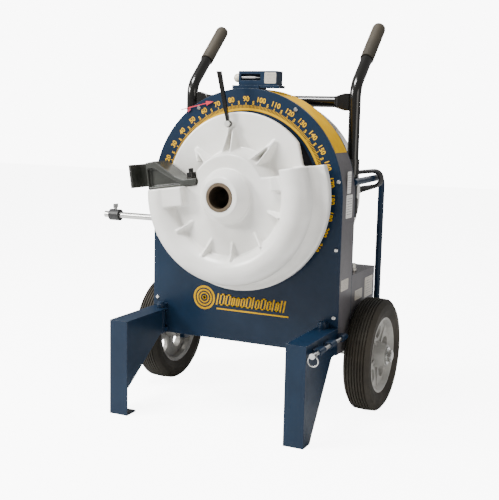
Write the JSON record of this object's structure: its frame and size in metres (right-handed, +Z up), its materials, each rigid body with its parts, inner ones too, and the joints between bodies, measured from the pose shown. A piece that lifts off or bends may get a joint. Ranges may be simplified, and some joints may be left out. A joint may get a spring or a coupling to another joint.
{
  "type": "electric conduit bender",
  "caption": "Wheeled electric conduit bender: turning cast shoe with hook and pointer over a degree scale, folding legs, push handles.",
  "frame": {"origin": "on the axis of the hollow shoe shaft, at the front face of the front plate", "axes": "+Z up, +Y from the front plate to the back, +X to the operator's right; the floor is at z = -0.604 m"},
  "size_m": [0.875, 0.5855, 1.0878],
  "materials": {
    "navy_paint": "semi-gloss enamel",
    "rim_paint": "semi-gloss enamel, greyed",
    "yellow_scale": "printed dial band",
    "black_plate": "satin black",
    "shoe_casting": "sand-cast, light grey paint",
    "shaft_steel": "turned, oiled",
    "gear_steel": "cut teeth, greased",
    "bearing_iron": "machined cast iron",
    "black_enamel": "gloss black enamel",
    "grip_rubber": "matt moulded",
    "zinc": "bright zinc plate",
    "black_plastic": "moulded",
    "red_marker": "red paint",
    "cream_plastic": "moulded",
    "tyre_rubber": "ribbed tread",
    "wheel_iron": "grey painted cast centre",
    "bush_bronze": "oiled bronze",
    "cord_rubber": "smooth jacket",
    "blade_brass": "plated blades"
  },
  "bodies": {
    "frame": {"axle": "zinc", "axle_brackets": "navy_paint", "bearing_plate": "black_plate", "control_box": "rim_paint", "control_cover": "rim_paint", "cord_gland": "black_plastic", "cord_hank": "cord_rubber", "cord_lead": "cord_rubber", "cord_plug": "cord_rubber", "cord_tail": "cord_rubber", "crossbar": "black_enamel", "degree_scale": "yellow_scale", "front_plate": "navy_paint", "gear_motor": "bearing_iron", "grips": "grip_rubber", "handle_brackets": "black_enamel", "handle_tubes": "black_enamel", "hinge_lugs": "navy_paint", "hinge_pins": "navy_paint", "idler_pin": "shaft_steel", "latch_keeper": "navy_paint", "level_body": "navy_paint", "level_bracket": "navy_paint", "level_knob": "cream_plastic", "level_pin": "zinc", "motor_case": "navy_paint", "plate_screws": "zinc", "plug_blades": "blade_brass", "rack_tubes": "navy_paint", "rear_cover": "navy_paint", "rear_plate": "navy_paint", "rim_band": "rim_paint", "selector_knob": "black_plastic", "shaft_bearings": "bearing_iron", "stop_rod": "zinc"},
    "shoe": {"main_shaft": "shaft_steel", "drive_keys": "shaft_steel", "drive_gear": "gear_steel", "shaft_spacers": "black_plate", "front_shoe": "shoe_casting", "hook": "black_enamel", "shoe_bolts": "zinc", "rear_shoe": "shoe_casting"},
    "pointer": {"pointer": "black_enamel"},
    "idler": {"idler_gear": "gear_steel"},
    "pinion": {"pinion": "gear_steel"},
    "target": {"target_marker": "red_marker"},
    "leg_left": {"leg_left": "navy_paint"},
    "leg_right": {"leg_right": "navy_paint", "latch_guides": "navy_paint"},
    "latch": {"latch_bolt": "zinc"},
    "ring": {"pull_ring": "zinc"},
    "wheel_left": {"tyre_left": "tyre_rubber", "rim_left": "wheel_iron", "wheel_bushes_left": "bush_bronze"},
    "wheel_right": {"tyre_right": "tyre_rubber", "rim_right": "wheel_iron", "wheel_bushes_right": "bush_bronze"},
    "collar": {"stop_collar": "black_plastic"},
    "thumb": {"thumb_screw": "zinc"}
  },
  "joints": [
    {"name": "shoe_turn", "type": "hinge", "parent": "frame", "child": "shoe", "pos_m": [0, 0, 0], "axis": [0, 1, 0], "range_deg": [-77, 103]},
    {"name": "idler_spin", "type": "hinge", "parent": "frame", "child": "idler", "pos_m": [0, 0.06, -0.245], "axis": [0, 1, 0], "range_deg": [-290, 290]},
    {"name": "pinion_spin", "type": "hinge", "parent": "frame", "child": "pinion", "pos_m": [0, 0.06, -0.345], "axis": [0, 1, 0], "range_deg": [-535, 535]},
    {"name": "pointer_swing", "type": "hinge", "parent": "shoe", "child": "pointer", "pos_m": [-0.0279, -0.048, 0.18895], "axis": [0, 1, 0], "range_deg": [-25, 25]},
    {"name": "target_slide", "type": "hinge", "parent": "frame", "child": "target", "pos_m": [0, 0, 0], "axis": [0, 1, 0], "range_deg": [-45, 20]},
    {"name": "leg_left_fold", "type": "hinge", "parent": "frame", "child": "leg_left", "pos_m": [-0.249, -0.02, -0.38], "axis": [0, 0, 1], "range_deg": [0, 90]},
    {"name": "leg_right_fold", "type": "hinge", "parent": "frame", "child": "leg_right", "pos_m": [0.249, -0.02, -0.38], "axis": [0, 0, 1], "range_deg": [-90, 0]},
    {"name": "latch_slide", "type": "slide", "parent": "leg_right", "child": "latch", "axis": [0, 1, 0], "range_m": [0, 0.025]},
    {"name": "ring_swing", "type": "hinge", "parent": "latch", "child": "ring", "pos_m": [0.302, -0.218, -0.364], "axis": [1, 0, 0], "range_deg": [-110, 30]},
    {"name": "wheel_left_roll", "type": "hinge", "parent": "frame", "child": "wheel_left", "pos_m": [0, 0.1755, -0.445], "axis": [1, 0, 0], "continuous": true},
    {"name": "wheel_right_roll", "type": "hinge", "parent": "frame", "child": "wheel_right", "pos_m": [0, 0.1755, -0.445], "axis": [1, 0, 0], "continuous": true},
    {"name": "collar_slide", "type": "slide", "parent": "frame", "child": "collar", "axis": [1, 0, 0], "range_m": [-0.012, 0.14]},
    {"name": "thumb_turn", "type": "hinge", "parent": "collar", "child": "thumb", "pos_m": [-0.452, 0.05, -0.075], "axis": [0, 0, 1], "range_deg": [-90, 90]}
  ],
  "couplings": [
    {"joint": "idler_spin", "follows": "shoe_turn", "ratio": -2.7692},
    {"joint": "pinion_spin", "follows": "shoe_turn", "ratio": 5.1429}
  ]
}
